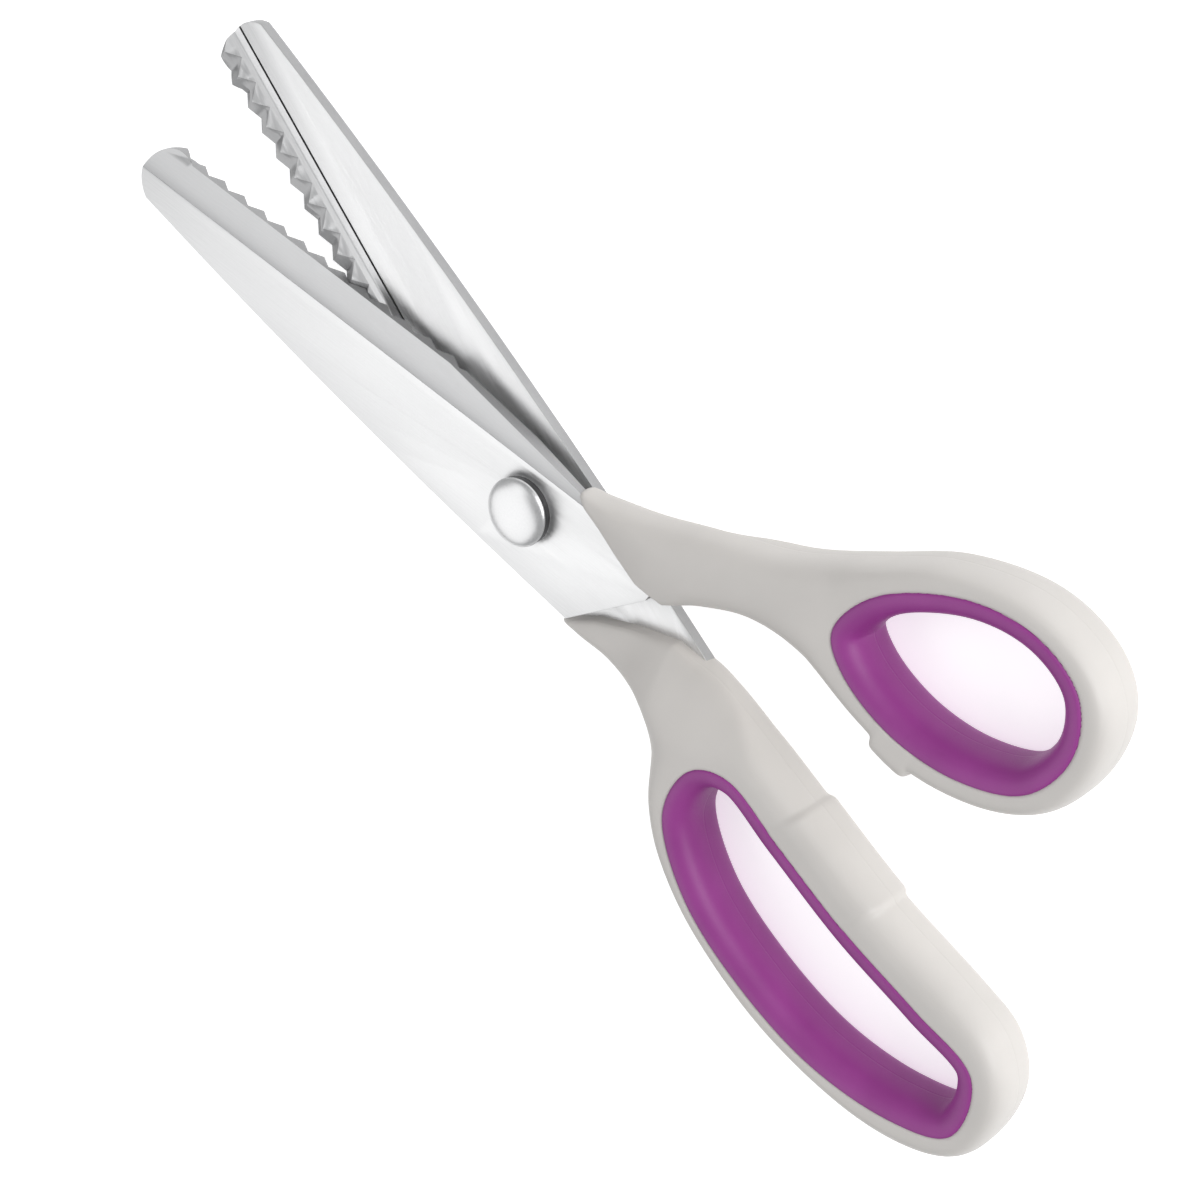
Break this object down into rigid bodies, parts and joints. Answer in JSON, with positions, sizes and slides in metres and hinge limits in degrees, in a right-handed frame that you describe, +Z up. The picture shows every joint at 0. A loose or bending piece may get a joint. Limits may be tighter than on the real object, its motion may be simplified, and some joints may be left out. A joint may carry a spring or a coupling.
{
  "type": "decorative edge scissors",
  "caption": "Decorative edge scissors for paper and cloth: toothed steel blades that cut a zigzag edge, a round thumb loop and a long finger loop, both with soft liners.",
  "frame": {"origin": "on the pivot axis, at the flat end of the pivot bolt, level with the undersides of the handles", "axes": "+Z up along the pivot axis towards the domed bolt head, +Y along the closed blades towards their tips"},
  "size_m": [0.1082, 0.2234, 0.0132],
  "materials": {
    "plate_steel": "brushed along the blade",
    "bar_steel": "fine ground",
    "bolt_steel": "polished",
    "washer_steel": "plain",
    "handle_plastic": "satin, warm light grey",
    "grip_rubber": "soft touch, purple"
  },
  "bodies": {
    "finger_half": {"rear_blade": "plate_steel", "rear_tooth_bar": "bar_steel", "pivot_bolt": "bolt_steel", "spacer_washer": "washer_steel", "spring_washer": "washer_steel", "lock_nut": "washer_steel", "finger_handle": "handle_plastic", "finger_grip": "grip_rubber"},
    "thumb_half": {"front_blade": "plate_steel", "front_tooth_bar": "bar_steel", "thumb_handle": "handle_plastic", "thumb_grip": "grip_rubber"}
  },
  "joints": [
    {"name": "blade_pivot", "type": "hinge", "parent": "finger_half", "child": "thumb_half", "pos_m": [0, 0, 0.0065], "axis": [0, 0, 1], "range_deg": [-14.5, 25]}
  ]
}
